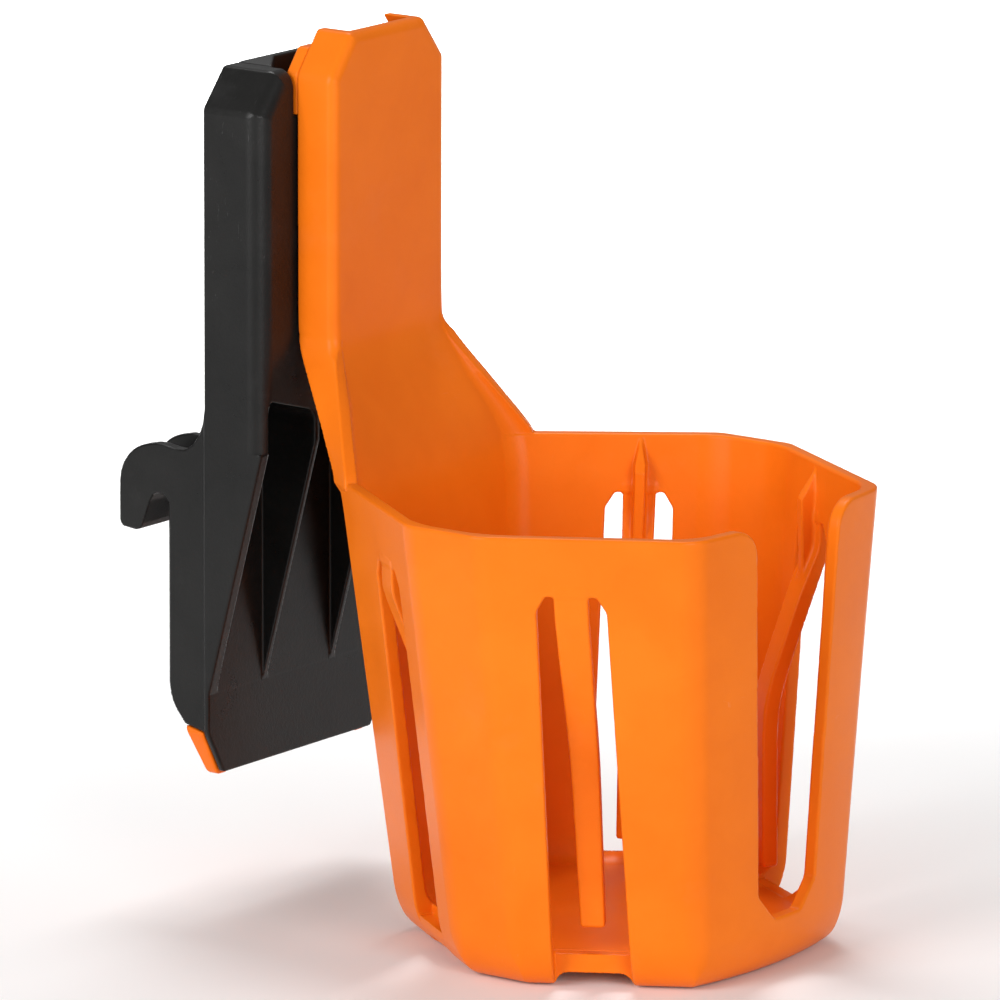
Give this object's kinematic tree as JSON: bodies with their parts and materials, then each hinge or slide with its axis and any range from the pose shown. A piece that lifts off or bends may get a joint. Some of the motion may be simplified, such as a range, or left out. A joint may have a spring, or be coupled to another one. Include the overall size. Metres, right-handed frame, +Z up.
{
  "type": "rail-hung cup and tool holder",
  "caption": "Cup-shaped holder with springy grip fingers that slides onto a bracket hooked over a rail and locked under it by a sprung latch",
  "frame": {"origin": "the top of the rail's seat inside the hook, in the middle of the width", "axes": "+Z is up, -Y is the front where the cup hangs, +X is the right-hand side seen from the back"},
  "size_m": [0.1146, 0.1563, 0.1913],
  "materials": {
    "black_shell": "fine-grained moulded plastic with a slight sheen",
    "black_insert": "fine-grained moulded plastic",
    "orange_shell": "fine-grained moulded plastic, semi-matt",
    "orange_latch": "fine-grained moulded plastic, semi-matt",
    "steel": "zinc-plated steel"
  },
  "bodies": {
    "bracket": {"bracket_housing": "black_shell", "guide_insert": "black_insert", "rear_cover": "black_insert", "rear_cover_screws": "steel", "latch_spring_left": "steel", "latch_spring_right": "steel"},
    "latch": {"release_latch": "orange_latch"},
    "holder": {"cup_holder": "orange_shell", "mounting_tongue": "orange_shell", "tongue_screws": "steel"},
    "finger_front_left": {"grip_finger_front_left": "orange_shell"},
    "finger_front_right": {"grip_finger_front_right": "orange_shell"},
    "finger_back_left": {"grip_finger_back_left": "orange_shell"},
    "finger_back_right": {"grip_finger_back_right": "orange_shell"}
  },
  "joints": [
    {"name": "holder_lift", "type": "slide", "parent": "bracket", "child": "holder", "axis": [0, 0, 1], "range_m": [0, 0.06]},
    {"name": "latch_pull", "type": "slide", "parent": "bracket", "child": "latch", "axis": [0, 0, -1], "range_m": [0, 0.007], "stiffness_N_per_m": 500, "springref_m": -0.006, "deforming": ["latch_spring_left", "latch_spring_right"]},
    {"name": "flex_front_left", "type": "hinge", "parent": "holder", "child": "finger_front_left", "pos_m": [-0.045, -0.1195, -0.0043], "axis": [-0.512, 0.859, 0], "range_deg": [0, 7], "stiffness_Nm_per_rad": 0.5},
    {"name": "flex_front_right", "type": "hinge", "parent": "holder", "child": "finger_front_right", "pos_m": [0.045, -0.1195, -0.0043], "axis": [-0.512, -0.859, 0], "range_deg": [0, 7], "stiffness_Nm_per_rad": 0.5},
    {"name": "flex_back_left", "type": "hinge", "parent": "holder", "child": "finger_back_left", "pos_m": [-0.0444, -0.0722, -0.0043], "axis": [0.5764, 0.8171, 0], "range_deg": [0, 7], "stiffness_Nm_per_rad": 0.5},
    {"name": "flex_back_right", "type": "hinge", "parent": "holder", "child": "finger_back_right", "pos_m": [0.0444, -0.0722, -0.0043], "axis": [0.5764, -0.8171, 0], "range_deg": [0, 7], "stiffness_Nm_per_rad": 0.5}
  ]
}
